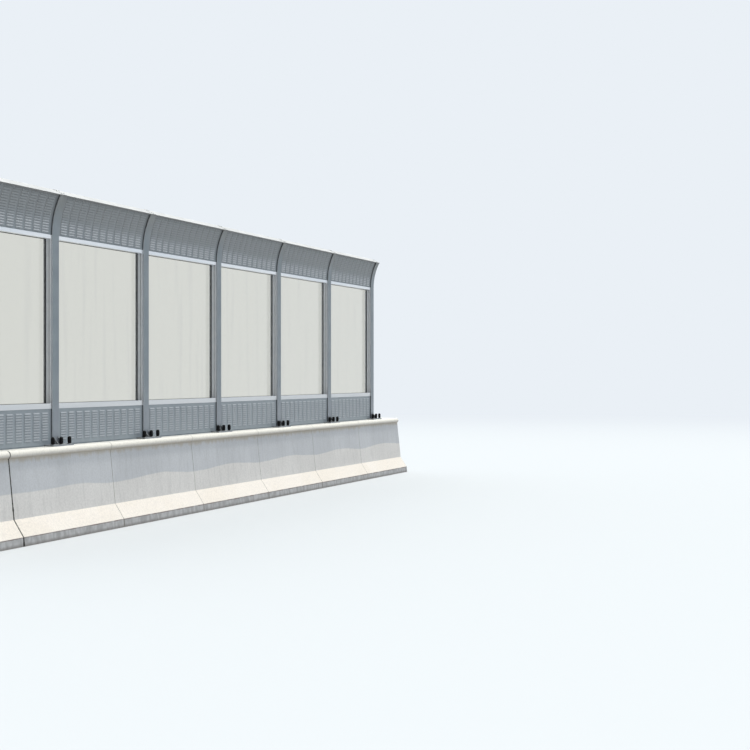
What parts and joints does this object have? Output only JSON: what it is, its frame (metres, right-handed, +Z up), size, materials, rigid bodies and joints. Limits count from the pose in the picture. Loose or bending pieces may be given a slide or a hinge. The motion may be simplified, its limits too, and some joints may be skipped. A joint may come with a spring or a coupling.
{
  "type": "highway noise barrier",
  "caption": "Roadside noise barrier: H-section posts with curved heads on a concrete parapet, carrying louvred panels and clear panes that shield neighbours from traffic noise.",
  "frame": {"origin": "middle post's centre line at the level of the deck under the parapet", "axes": "+X along the barrier, to the right as seen from the road; +Y away from the road; +Z up"},
  "size_m": [14, 0.597, 3.7348],
  "materials": {
    "concrete": "cast concrete, weathered",
    "filler_board": "bitumen board",
    "galvanised_steel": "galvanised and coated, satin grey",
    "panel_sheet": "coated sheet, satin blue-grey",
    "frame_aluminium": "mill finish, satin",
    "clear_pane": "clear",
    "rubber": "matt black",
    "cap_aluminium": "bright, satin"
  },
  "bodies": {
    "root": {"parapet_short_casting": "concrete", "parapet_long_casting": "concrete", "joint_filler": "filler_board", "bottom_seals": "rubber", "panel_strips": "rubber", "glazing_gaskets": "rubber", "post_1": "galvanised_steel", "post_2": "galvanised_steel", "post_3": "galvanised_steel", "post_4": "galvanised_steel", "post_5": "galvanised_steel", "post_6": "galvanised_steel", "post_7": "galvanised_steel", "lower_panel_1": "panel_sheet", "lower_panel_2": "panel_sheet", "lower_panel_3": "panel_sheet", "lower_panel_4": "panel_sheet", "lower_panel_5": "panel_sheet", "lower_panel_6": "panel_sheet", "glazing_frame_1": "frame_aluminium", "glazing_frame_2": "frame_aluminium", "glazing_frame_3": "frame_aluminium", "glazing_frame_4": "frame_aluminium", "glazing_frame_5": "frame_aluminium", "glazing_frame_6": "frame_aluminium", "glass_pane_1": "clear_pane", "glass_pane_2": "clear_pane", "glass_pane_3": "clear_pane", "glass_pane_4": "clear_pane", "glass_pane_5": "clear_pane", "glass_pane_6": "clear_pane", "curved_panel_1": "panel_sheet", "curved_panel_2": "panel_sheet", "curved_panel_3": "panel_sheet", "curved_panel_4": "panel_sheet", "curved_panel_5": "panel_sheet", "curved_panel_6": "panel_sheet", "top_cap_1": "cap_aluminium", "top_cap_2": "cap_aluminium", "top_cap_3": "cap_aluminium", "top_cap_4": "cap_aluminium", "top_cap_5": "cap_aluminium", "top_cap_6": "cap_aluminium"}
  },
  "joints": []
}
